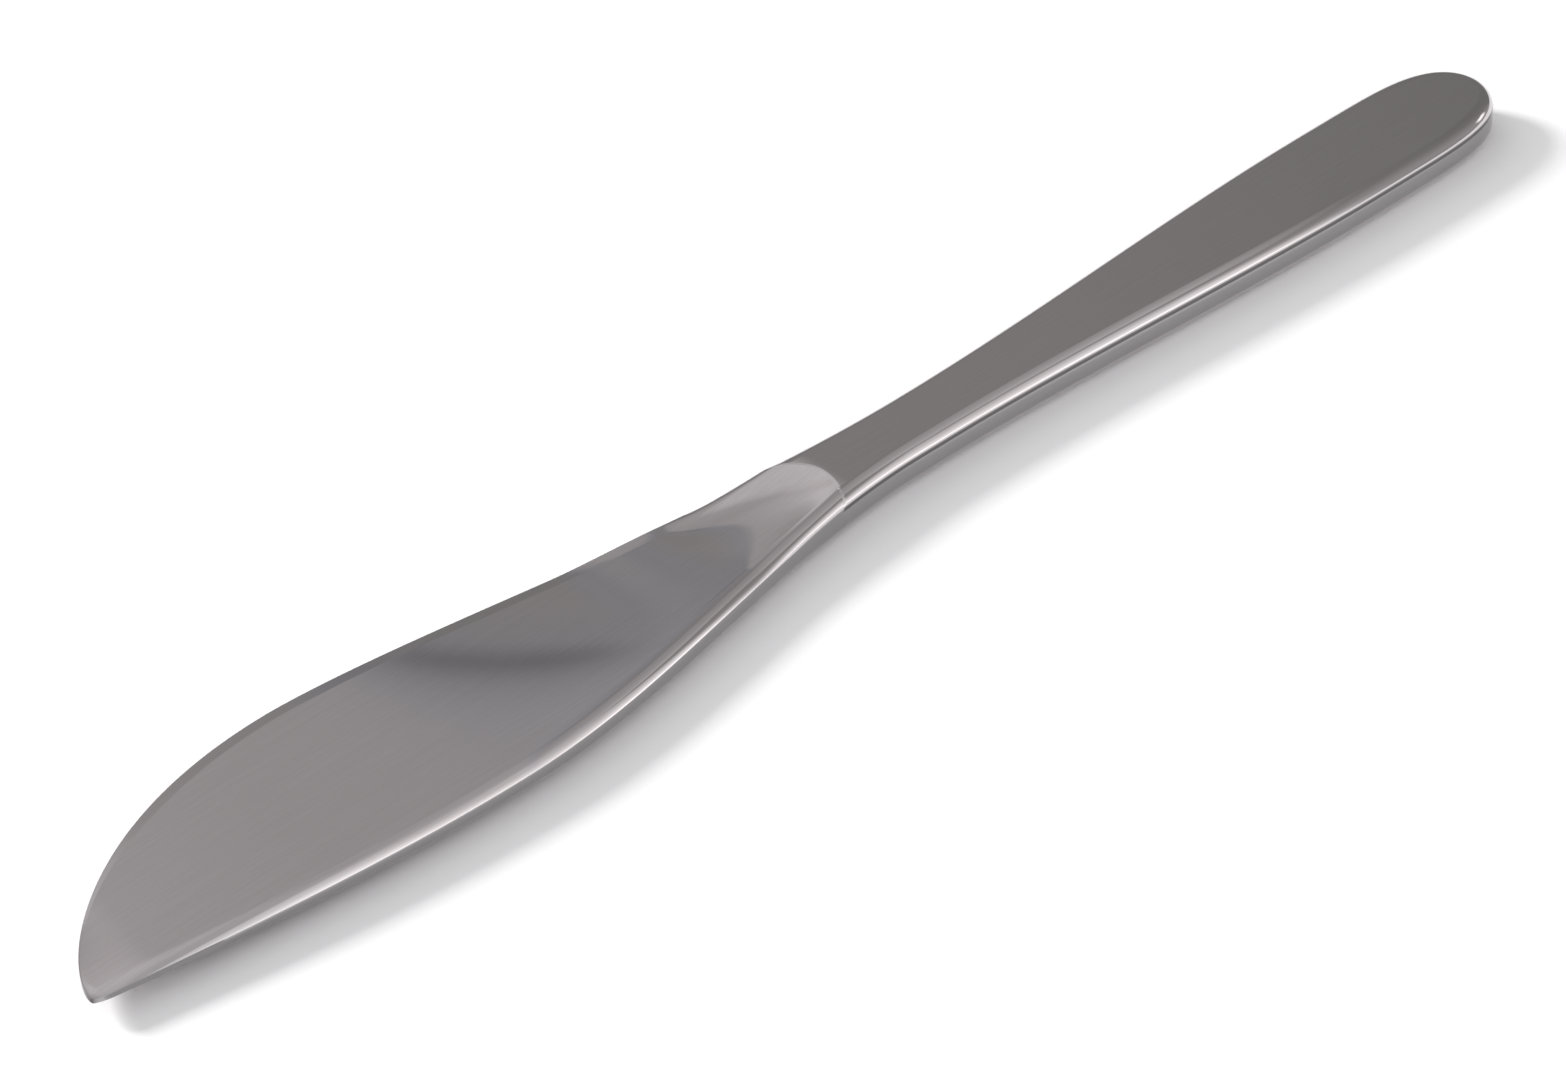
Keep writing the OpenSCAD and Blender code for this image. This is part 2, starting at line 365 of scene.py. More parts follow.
class Skin:
    """A mesh that is drawn out of one ring or row of points, section by section."""

    def __init__(self, name: str, sections: Sequence[Sequence[Vector]], closed: bool) -> None:
        """Draws the skin out and leaves it in edit mode.

        Args:
            name: Name of the piece.
            sections: Points of each section, as many in each.
            closed: Whether a section is a ring and not an open row.
        """
        self.closed = closed
        self.count = len(sections[0])
        bpy.ops.object.select_all(action="DESELECT")
        bpy.ops.mesh.primitive_circle_add(
            vertices=self.count, radius=START_MM * MM, fill_type="NOTHING", enter_editmode=True
        )
        self.piece = bpy.context.object
        self.piece.name = self.piece.data.name = name
        self.mesh = bmesh.from_edit_mesh(self.piece.data)
        bpy.ops.mesh.select_mode(type="EDGE")
        if not closed:
            self._open_ring()
        self.rings = [list(self.mesh.verts)]
        self._lay(self.rings[0], sections[0])
        for section in sections[1:]:
            self._draw_on(section)

    def _open_ring(self) -> None:
        """Deletes the edge between the last point and the first."""
        bpy.ops.mesh.select_all(action="DESELECT")
        self.mesh.verts.ensure_lookup_table()
        self.mesh.edges.get((self.mesh.verts[0], self.mesh.verts[-1])).select_set(True)
        bpy.ops.mesh.delete(type="EDGE")
        bpy.ops.mesh.select_all(action="SELECT")

    def _lay(self, ring: Iterable[bmesh.types.BMVert], section: Iterable[Vector]) -> None:
        """Puts a ring on a section.

        Args:
            ring: Points of the ring.
            section: Their places.
        """
        for vert, place in zip(ring, section):
            vert.co = place
        bmesh.update_edit_mesh(self.piece.data)

    def _draw_on(self, section: Sequence[Vector]) -> None:
        """Extrudes the last ring to the next section.

        Args:
            section: Places of the new ring's points.
        """
        step = section[0] - self.rings[-1][0].co
        bpy.ops.mesh.extrude_region_move(TRANSFORM_OT_translate={"value": step})
        number = {vert: i for i, vert in enumerate(self.rings[-1])}
        fresh: dict[int, bmesh.types.BMVert] = {}
        for vert in self.mesh.verts:
            if vert.select:
                for edge in vert.link_edges:
                    old = edge.other_vert(vert)
                    if old in number:
                        fresh[number[old]] = vert
        self.rings.append([fresh[i] for i in range(self.count)])
        self._lay(self.rings[-1], section)

    def _edges(self, verts: Sequence[bmesh.types.BMVert], closed: bool) -> None:
        """Selects the edges along a line of points, and nothing else.

        Args:
            verts: Points of the line.
            closed: Whether the last point joins the first.
        """
        bpy.ops.mesh.select_all(action="DESELECT")
        pairs = list(zip(verts, verts[1:]))
        if closed:
            pairs.append((verts[-1], verts[0]))
        for pair in pairs:
            self.mesh.edges.get(pair).select_set(True)
        bmesh.update_edit_mesh(self.piece.data)

    def cap(self) -> None:
        """Closes both ends."""
        for ring in (self.rings[0], self.rings[-1]):
            self._edges(ring, self.closed)
            bpy.ops.mesh.edge_face_add()

    def mark_crisp(self, column: int, last: int) -> None:
        """Keeps a lengthwise line crisp in the shading.

        Args:
            column: Number of the point in its ring.
            last: Number of the section where the line ends.
        """
        self._edges([ring[column] for ring in self.rings[:last + 1]], False)
        bpy.ops.mesh.mark_sharp()

    def close(self) -> bpy.types.Object:
        """Merges doubles, turns the faces outwards and leaves edit mode.

        Returns:
            The piece.
        """
        bpy.ops.mesh.select_all(action="SELECT")
        bpy.ops.mesh.remove_doubles(threshold=MERGE_MM * MM)
        bpy.ops.mesh.normals_make_consistent(inside=False)
        bpy.ops.object.mode_set(mode="OBJECT")
        bpy.ops.object.shade_smooth_by_angle(angle=math.radians(SMOOTH_BELOW))
        return self.piece


@dataclass(frozen=True)
class GroundSteel:
    """Stainless steel, ground lengthwise and buffed.

    It mirrors the room in soft outlines, and the lines that the belt left show as faint streaks along the
    knife. The real lines are about 0.03 mm apart, too fine to show, so they are drawn ten times as coarse.
    """

    name: str
    colour: str
    streak_colour: str
    streak_from: float = 0.3
    streak_to: float = 0.7
    roughness: float = 0.04
    roughness_spread: float = 0.01
    mottle_from: float = 0.6
    mottle_to: float = 1.4
    line_mm: float = 0.3
    line_len_mm: float = 14.0
    line_depth_mm: float = 0.02
    line_detail: float = 3.0
    line_grit: float = 0.6
    bump: float = 0.03
    smudge_mm: float = 9.0
    smudge_detail: float = 4.0
    # Painted shade: the upright sides, and darker still the front of the tip, take these colours by their
    # normals.
    painted_side_shade_colour: str = "aaa7a8"
    side_below: float = 0.12
    face_above: float = 0.32
    painted_tip_front_shade_colour: str = "5e5b5c"
    front_below: float = -0.8
    flank_above: float = -0.3
    # The dark line at the seam is partly braze and partly a painted dark reflection.
    seam_and_reflection_mm: float | None = None
    seam_and_reflection_core_mm: float = 0.15
    seam_and_reflection_half_mm: float = 0.30
    seam_and_reflection_colour: str = "757273"

    def material(self) -> bpy.types.Material:
        """Builds the material.

        Returns:
            The steel.
        """
        material = bpy.data.materials.new(self.name)
        material.use_nodes = True
        tree = material.node_tree
        shader = tree.nodes["Principled BSDF"]
        coords = add_node(tree, "ShaderNodeTexCoord")
        place = coords.outputs["Object"]
        fine = 1 / (self.line_mm * MM)
        long = 1 / (self.line_len_mm * MM)
        along = add_node(tree, "ShaderNodeMapping", {"Scale": (long, fine, fine)}, {"Vector": place})
        lines = add_node(
            tree, "ShaderNodeTexNoise",
            {"Scale": 1.0, "Detail": self.line_detail, "Roughness": self.line_grit},
            {"Vector": along.outputs["Vector"]},
        )
        smudge = add_node(
            tree, "ShaderNodeTexNoise",
            {"Scale": 1 / (self.smudge_mm * MM), "Detail": self.smudge_detail}, {"Vector": place},
        )
        both = add_node(
            tree, "ShaderNodeMath", links={0: lines.outputs["Fac"], 1: smudge.outputs["Fac"]},
            operation="ADD",
        )
        rough = add_node(
            tree, "ShaderNodeMapRange",
            {
                "From Min": self.mottle_from, "From Max": self.mottle_to,
                "To Min": self.roughness - self.roughness_spread,
                "To Max": self.roughness + self.roughness_spread,
            },
            {"Value": both.outputs["Value"]},
        )
        colour = add_node(
            tree, "ShaderNodeValToRGB", links={"Fac": lines.outputs["Fac"]},
            stops=((self.streak_from, self.colour), (self.streak_to, self.streak_colour)),
        ).outputs["Color"]
        colour = self._painted_side_shade(tree, colour)
        if self.seam_and_reflection_mm is not None:
            colour = self._seam_and_reflection(tree, place, colour)
        bump = add_node(
            tree, "ShaderNodeBump", {"Strength": self.bump, "Distance": self.line_depth_mm * MM},
            {"Height": lines.outputs["Fac"]},
        )
        shader.inputs["Metallic"].default_value = 1.0
        tree.links.new(colour, shader.inputs["Base Color"])
        tree.links.new(rough.outputs["Result"], shader.inputs["Roughness"])
        tree.links.new(bump.outputs["Normal"], shader.inputs["Normal"])
        return material

    def _painted_side_shade(self, tree: bpy.types.NodeTree, colour: bpy.types.NodeSocket) -> bpy.types.NodeSocket:
        """Paints shade on the upright sides, by their normals, and darker shade on the front of the tip.

        Args:
            tree: Shader that gets them.
            colour: The steel's colour.

        Returns:
            The colour with the painted shade on the sides.
        """
        normal = add_node(tree, "ShaderNodeNewGeometry").outputs["True Normal"]
        parts = add_node(tree, "ShaderNodeSeparateXYZ", links={"Vector": normal})
        lean = add_node(tree, "ShaderNodeMath", links={0: parts.outputs["Z"]}, operation="ABSOLUTE")
        upright = add_node(
            tree, "ShaderNodeMapRange",
            {"From Min": self.side_below, "From Max": self.face_above, "To Min": 1.0, "To Max": 0.0},
            {"Value": lean.outputs["Value"]},
        )
        ahead = add_node(
            tree, "ShaderNodeMapRange",
            {"From Min": self.front_below, "From Max": self.flank_above, "To Min": 1.0, "To Max": 0.0},
            {"Value": parts.outputs["X"]},
        )
        # Painted shade for the upright sides and the front of the tip.
        painted_shade = add_node(
            tree, "ShaderNodeMixRGB",
            {"Color1": linear(self.painted_side_shade_colour), "Color2": linear(self.painted_tip_front_shade_colour)},
            {"Fac": ahead.outputs["Result"]},
        )
        both = add_node(
            tree, "ShaderNodeMixRGB",
            links={"Fac": upright.outputs["Result"], "Color1": colour, "Color2": painted_shade.outputs["Color"]},
        )
        return both.outputs["Color"]

    def _seam_and_reflection(
        self, tree: bpy.types.NodeTree, place: bpy.types.NodeSocket, colour: bpy.types.NodeSocket
    ) -> bpy.types.NodeSocket:
        """Paints the dark seam line a little above the seam: partly braze, partly a painted dark
        reflection.

        Args:
            tree: Shader that gets the line.
            place: Point on the piece.
            colour: The steel's colour.

        Returns:
            The colour with the line.
        """
        parts = add_node(tree, "ShaderNodeSeparateXYZ", links={"Vector": place})
        off = add_node(
            tree, "ShaderNodeMath", {1: self.seam_and_reflection_mm * MM}, {0: parts.outputs["Z"]}, operation="SUBTRACT"
        )
        away = add_node(tree, "ShaderNodeMath", links={0: off.outputs["Value"]}, operation="ABSOLUTE")
        line = add_node(
            tree, "ShaderNodeMapRange",
            {
                "From Min": self.seam_and_reflection_core_mm * MM, "From Max": self.seam_and_reflection_half_mm * MM,
                "To Min": 1.0, "To Max": 0.0,
            },
            {"Value": away.outputs["Value"]}, interpolation_type="SMOOTHSTEP",
        )
        # The braze line, widened by a painted dark reflection.
        both = add_node(
            tree, "ShaderNodeMixRGB", {"Color2": linear(self.seam_and_reflection_colour)},
            {"Fac": line.outputs["Result"], "Color1": colour},
        )
        return both.outputs["Color"]


@dataclass(frozen=True)
class GrainyFill:
    """Filling with a visible grain, such as set cement, packed sand or cooled braze.

    It scatters the light, so that it looks matt, and its grains show as lighter and darker specks.
    """

    name: str
    dark: str
    light: str
    grain_mm: float
    metallic: float
    roughness: float
    detail: float = 5.0
    bump: float = 0.4
    relief: float = 0.1

    def material(self) -> bpy.types.Material:
        """Builds the material.

        Returns:
            The filling's material.
        """
        material = bpy.data.materials.new(self.name)
        material.use_nodes = True
        tree = material.node_tree
        shader = tree.nodes["Principled BSDF"]
        coords = add_node(tree, "ShaderNodeTexCoord")
        grain = add_node(
            tree, "ShaderNodeTexNoise", {"Scale": 1 / (self.grain_mm * MM), "Detail": self.detail},
            {"Vector": coords.outputs["Object"]},
        )
        colour = add_node(
            tree, "ShaderNodeValToRGB", links={"Fac": grain.outputs["Fac"]},
            stops=((0.0, self.dark), (1.0, self.light)),
        )
        bump = add_node(
            tree, "ShaderNodeBump", {"Strength": self.bump, "Distance": self.relief * self.grain_mm * MM},
            {"Height": grain.outputs["Fac"]},
        )
        shader.inputs["Metallic"].default_value = self.metallic
        shader.inputs["Roughness"].default_value = self.roughness
        tree.links.new(colour.outputs["Color"], shader.inputs["Base Color"])
        tree.links.new(bump.outputs["Normal"], shader.inputs["Normal"])
        return material


def install(piece: bpy.types.Object, node: str, finish: GroundSteel) -> None:
    """Puts a piece in the place of its solid.

    Args:
        piece: The modelled piece.
        node: Solid that it stands for.
        finish: Its finish.
    """
    piece.data.materials.clear()
    piece.data.materials.append(finish.material())
    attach(piece, "root")
    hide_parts(node)
    LOG.info("%s stands for %s, %d faces, in %s", piece.name, node, len(piece.data.polygons), finish.name)


@dataclass
class Handle:
    """The two shells of the hollow handle."""

    frame: Frame
    grid: Grid
    corner_r: float = 1.72
    corner_arc: float = 80.0
    back_bow: float = 1.9
    edge_bow: float = 7.5
    edge_bow_end: float = 0.985
    bow_len: float = 8.0
    wall: float = 0.9
    seam: float = 0.776
    # Rise of the painted dark reflection line above the seam.
    painted_reflection_rise: float = 0.32
    rim_break: float = 0.04
    rim_angle: float = 60.0
    rim_segments: int = 2
    neck_steps: int = 40
    flare_steps: int = 60
    butt_steps: int = 36

    @property
    def outline(self) -> Outline:
        """The knife's outline."""
        return self.frame.outline

    @property
    def half_t(self) -> float:
        """Half the handle's thickness."""
        return self.frame.handle_t / 2

    @property
    def seam_and_reflection_height(self) -> float:
        """Height of the dark line above the rest face: the seam's, raised by a painted dark reflection."""
        return self.half_t + self.seam + self.painted_reflection_rise

    def section(self, inset: float = 0.0, foot: float = 0.0) -> BarSection:
        """Returns the handle's section, set in by an inset, with its foot at a height."""
        return BarSection(inset, self.half_t - inset, self.corner_r - inset, self.corner_arc, foot)

    def bow(self, s: float, off_axis: float) -> float:
        """Finds how far the bowed mouth shifts a point towards the tip.

        Args:
            s: Station of the point's section.
            off_axis: Where the point lies between the back, at -1, and the edge, at 1.

        Returns:
            The shift, which fades out behind the mouth.
        """
        past = max(0.0, s - self.outline.blade_len)
        fade = max(0.0, 1 - past / self.bow_len)
        if fade == 0:
            return 0.0
        if off_axis < 0:
            return fade * self.back_bow * off_axis * off_axis
        return fade * self.edge_bow * (1 - math.sqrt(1 - (self.edge_bow_end * off_axis) ** 2))

    def point(self, s: float, column: Column, section: BarSection) -> Spot:
        """Finds a column's point on the handle's skin.

        Args:
            s: Station of the section, before the mouth's bow shifts the point.
            column: Column of the section.
            section: The section.

        Returns:
            Its s, y and z.
        """
        depth = section.depth(column)
        off_axis = (2 * column.across - 1) * (1 - depth / self.outline.reach(s, Way.BACK))
        at = s - self.bow(s, off_axis)
        near = self.outline.side(at, Way.BACK, depth)
        far = self.outline.side(at, Way.EDGE, depth)
        return (
            mix(near[0], far[0], column.across),
            mix(near[1], far[1], column.across),
            section.height(column),
        )

    def stations(self) -> list[float]:
        """Spaces the sections out.

        Returns:
            The stations from the mouth to just before the end of the butt.
        """
        shape = self.outline
        neck = [mix(shape.blade_len, shape.flare_at, k / self.neck_steps) for k in range(self.neck_steps)]
        flare = [mix(shape.flare_at, shape.butt_at, k / self.flare_steps) for k in range(self.flare_steps)]
        butt = [shape.butt_station(k / self.butt_steps) for k in range(self.butt_steps)]
        return neck + flare + butt

    def build(self, steel: GroundSteel) -> None:
        """Models both shells, dresses them and puts them in the place of their solids.

        Args:
            steel: Their finish.
        """
        install(self.shell(Half.UPPER), "upper_shell", steel)
        install(self.shell(Half.LOWER), "lower_shell", steel)

    def shell(self, half: Half) -> bpy.types.Object:
        """Models one shell: its outer skin, its wall and its broken rims.

        Args:
            half: Which of the two.

        Returns:
            The shell.
        """
        section = self.section(foot=half.value * self.seam)
        rows = [
            [self._placed(half, self.point(s, column, section)) for column in self.grid.columns]
            for s in self.stations()
        ]
        end = self.outline.overall_len
        rows.append([
            self._placed(half, (end - section.depth(column), 0.0, section.height(column)))
            for column in self.grid.columns
        ])
        shell = Skin(half.name.lower() + "_handle_shell", rows, closed=False).close()
        self._face_out(shell, half)
        wall = shell.modifiers.new("wall", "SOLIDIFY")
        wall.thickness = self.wall * MM
        wall.offset = -1
        rims = shell.modifiers.new("rims", "BEVEL")
        rims.limit_method = "ANGLE"
        rims.angle_limit = math.radians(self.rim_angle)
        rims.width = self.rim_break * MM
        rims.segments = self.rim_segments
        for modifier in (wall.name, rims.name):
            bpy.ops.object.modifier_apply(modifier=modifier)
        return shell

    def _placed(self, half: Half, place: Spot) -> Vector:
        """Returns a point of the upper half in the frame, turned over for the lower shell."""
        return self.frame.point(place[0], place[1], half.value * place[2])

    @staticmethod
    def _face_out(shell: bpy.types.Object, half: Half) -> None:
        """Flips an open skin whose broad face looks into the handle.

        Args:
            shell: The skin, which is the active object.
            half: Which of the two shells it is.
        """
        broad = max(shell.data.polygons, key=lambda face: face.area)
        if broad.normal.z * half.value < 0:
            bpy.ops.object.mode_set(mode="EDIT")
            bpy.ops.mesh.select_all(action="SELECT")
            bpy.ops.mesh.flip_normals()
            bpy.ops.object.mode_set(mode="OBJECT")


@dataclass
class Blade:
    """The forged blade with its scoop, spigot and tang."""

    handle: Handle
    nose_t: float = 0.56
    nose_len: float = 8.0
    back_t_tip: float = 0.65
    back_t_root: float = 1.7
    roll_r: float = 1.65
    roll_arc: float = 67.0
    roll_full_at: float = 30.0
    shoulder_t: float = 0.8
    edge_t: float = 0.35
    bevel_w: float = 1.4
    bevel_tip: float = 0.15
    bevel_full_at: float = 30.0
    grind_end: float = 76.0
    heel_t: float = 1.5
    scoop_len: float = 17.0
    scoop_power: float = 2.6
    rim_power: float = 1.3
    roll_share: float = 0.45
    bevel_share: float = 0.3
    spigot_len: float = 8.0
    spigot_inset: float = 0.95
    tang_len: float = 38.0
    tang_w: float = 4.55
    tang_t: float = 2.1
    tang_r: float = 0.4
    tip_start: float = 0.012
    tip_steps: int = 60
    face_steps: int = 60
    scoop_steps: int = 30
    spigot_steps: int = 6

    @property
    def outline(self) -> Outline:
        """The knife's outline."""
        return self.handle.outline

    @property
    def scoop_at(self) -> float:
        """Station where the scoop starts."""
        return self.outline.blade_len - self.scoop_len

    def point(self, s: float, column: Column, low: float, high: float) -> Spot:
        """Finds a column's point on the blade.

        Args:
            s: Station.
            column: Column of the section.
            low: Y of the back.
            high: Y of the edge.

        Returns:
            Its s, y and z.
        """
        width = high - low
        arc = math.radians(self.roll_arc)
        roll = min(self.roll_r * math.sin(arc), self.roll_share * width)
        ground = ease(s / self.bevel_full_at)
        bevel = min(self.bevel_w * mix(self.bevel_tip, 1.0, ground), self.bevel_share * width)
        nose = ease(s / self.nose_len)
        back_t = mix(self.nose_t, mix(self.back_t_tip, self.back_t_root, s / self.scoop_at), nose)
        radius = roll / math.sin(arc)
        fall = radius * (1 - max(0.0, 1 - s / self.roll_full_at) ** 2)
        drop = fall * (1 - math.cos(arc))
        full_t = back_t + 2 * drop
        heel = ease((s - self.grind_end) / (self.scoop_at - self.grind_end))
        shoulder_t = mix(self.edge_t, self.shoulder_t, ground)
        ground_t = mix(self.nose_t, mix(shoulder_t, self.heel_t, heel), nose)
        thin_t = mix(self.nose_t, mix(self.edge_t, self.heel_t, heel), nose)
        if column.across == 0:
            lean = arc - column.turn(self.roll_arc)
            y = low + roll - radius * math.sin(lean)
            thick = full_t - 2 * fall * (1 - math.cos(lean))
        elif column.across == 1:
            y = high - bevel * column.share
            thick = mix(thin_t, ground_t, column.share)
        else:
            y = mix(low + roll, high - bevel, column.across)
            thick = mix(full_t, ground_t, column.across)
        return s, y, 0.0 if column.row == 0 else thick / 2

    def scoop_point(self, share: float, column: Column) -> Spot:
        """Finds a column's point on the scoop, where the blade's section turns into the handle's.

        Args:
            share: Share of the way from the blade's face to the mouth of the handle.
            column: Column of the section.

        Returns:
            Its s, y and z.
        """
        section = self.handle.section()
        mouth = self.handle.point(self.outline.blade_len, column, section)
        s = mix(self.scoop_at, mouth[0], share)
        thin = self.point(s, column, -self.outline.back(s), self.outline.edge(s))
        depth = section.depth(column)
        near = self.outline.side(s, Way.BACK, depth)
        far = self.outline.side(s, Way.EDGE, depth)
        thick_y = mix(near[1], far[1], column.across)
        power = mix(self.scoop_power, self.rim_power, (2 * column.across - 1) ** 2)
        return s, mix(thin[1], thick_y, ease(share)), mix(thin[2], mouth[2], share ** power)

    def tops(self) -> list[list[Spot]]:
        """Draws the sections.

        Returns:
            The upper half of each section, from the tip to the end of the tang.
        """
        shape = self.outline
        columns = self.handle.grid.columns
        tops = []
        for k in range(self.tip_steps + 1):
            s, y = shape.belly(mix(self.tip_start, 1.0, k / self.tip_steps))
            tops.append([self.point(s, column, -shape.back(s), y) for column in columns])
        for k in range(1, self.face_steps + 1):
            s = mix(shape.belly_at, self.scoop_at, k / self.face_steps)
            tops.append([self.point(s, column, -shape.back(s), shape.edge(s)) for column in columns])
        for k in range(1, self.scoop_steps + 1):
            tops.append([self.scoop_point(k / self.scoop_steps, column) for column in columns])
        spigot = self.handle.section(inset=self.spigot_inset)
        spigot_end = shape.blade_len + self.spigot_len
        for k in range(self.spigot_steps + 1):
            s = mix(shape.blade_len, spigot_end, k / self.spigot_steps)
            tops.append([self.handle.point(s, column, spigot) for column in columns])
        tang = BarSection(0.0, self.tang_t / 2, self.tang_r)
        for s in (spigot_end, spigot_end + self.tang_len):
            tops.append([
                (s, (2 * column.across - 1) * (self.tang_w / 2 - tang.depth(column)), tang.height(column))
                for column in columns
            ])
        return tops

    def build(self, steel: GroundSteel) -> None:
        """Models the blade, dresses it and puts it in the place of its solid.

        Args:
            steel: Its finish.
        """
        place = self.handle.frame.point
        rings = []
        for top in self.tops():
            below = [(s, y, -z) for s, y, z in reversed(top[1:-1])]
            rings.append([place(*spot) for spot in top + below])
        skin = Skin("blade_forging", rings, closed=True)
        skin.cap()
        shoulder = self.handle.grid.edge_rows + self.handle.grid.face_steps
        end = self.tip_steps + self.face_steps
        for column in (shoulder, len(rings[0]) - shoulder):
            skin.mark_crisp(column, end)
        install(skin.close(), "blade", steel)


@dataclass
class Filling:
    """What is sealed inside the handle, which keeps its solids."""

    # Braze that cooled in its gap and was never polished is a dull, pale yellow metal.
    braze: GrainyFill = GrainyFill(
        "silver_braze_as_cooled", dark="9c8f66", light="d2c49a", grain_mm=0.5, metallic=1.0, roughness=0.45
    )
    # Cement that was poured in and has set is a matt grey with a fine grain.
    cement: GrainyFill = GrainyFill(
        "handle_cement_cast", dark="6f6a62", light="a8a297", grain_mm=0.35, metallic=0.0, roughness=0.9
    )
    # Dry sand that was packed in is pale brown, and its single grains show.
    sand: GrainyFill = GrainyFill(
        "packed_dry_sand", dark="8f7a58", light="d2bd92", grain_mm=0.25, metallic=0.0, roughness=0.95
    )

    def dress(self) -> None:
        """Gives each inner solid its finish."""
        finishes = {"seam_braze": self.braze, "tang_cement": self.cement, "sand_fill": self.sand}
        for node, finish in finishes.items():
            mesh = frame["nodes"][node].data
            mesh.materials.clear()
            mesh.materials.append(finish.material())
            LOG.info("%s keeps its solid, in %s", node, finish.name)


@dataclass(frozen=True)
class Panel:
    """A lit panel, in metres, whose level changes from edge to edge and, as a factor, from end to end."""

    name: str
    centre: Spot
    size: tuple[float, float]
    across: Levels
    along: Levels
    tilt: float = 0.0
    turn: float = 0.0

    def build(self) -> None:
        """Hangs the panel up, facing down or, tilted by 90 degrees, towards +Y, and then turned left."""
        facing = (math.radians(self.tilt), 0.0, math.radians(self.turn))
        bpy.ops.object.light_add(type="AREA", location=self.centre, rotation=facing)
        panel = bpy.context.object
        panel.name = self.name
        panel.visible_camera = False
        panel.data.shape = "RECTANGLE"
        panel.data.size, panel.data.size_y = self.size
        # With pi watts to the square metre, a level of 1 looks white.
        panel.data.energy = math.pi * panel.data.size * panel.data.size_y
        panel.data.use_nodes = True
        tree = panel.data.node_tree
        place = add_node(tree, "ShaderNodeNewGeometry").outputs["Parametric"]
        parts = add_node(tree, "ShaderNodeSeparateXYZ", links={"Vector": place})
        across = add_node(tree, "ShaderNodeValToRGB", links={"Fac": parts.outputs["Y"]}, stops=self.across)
        along = add_node(tree, "ShaderNodeValToRGB", links={"Fac": parts.outputs["X"]}, stops=self.along)
        faded = add_node(
            tree, "ShaderNodeMath", links={0: across.outputs["Color"], 1: along.outputs["Color"]},
            operation="MULTIPLY",
        )
        tree.links.new(faded.outputs["Value"], tree.nodes["Emission"].inputs["Strength"])


@dataclass(frozen=True)
class Card:
    """A darker patch of the room, placed from left to right and by its angle over from the front."""

    spread: Levels
    rise: Levels
    change: float


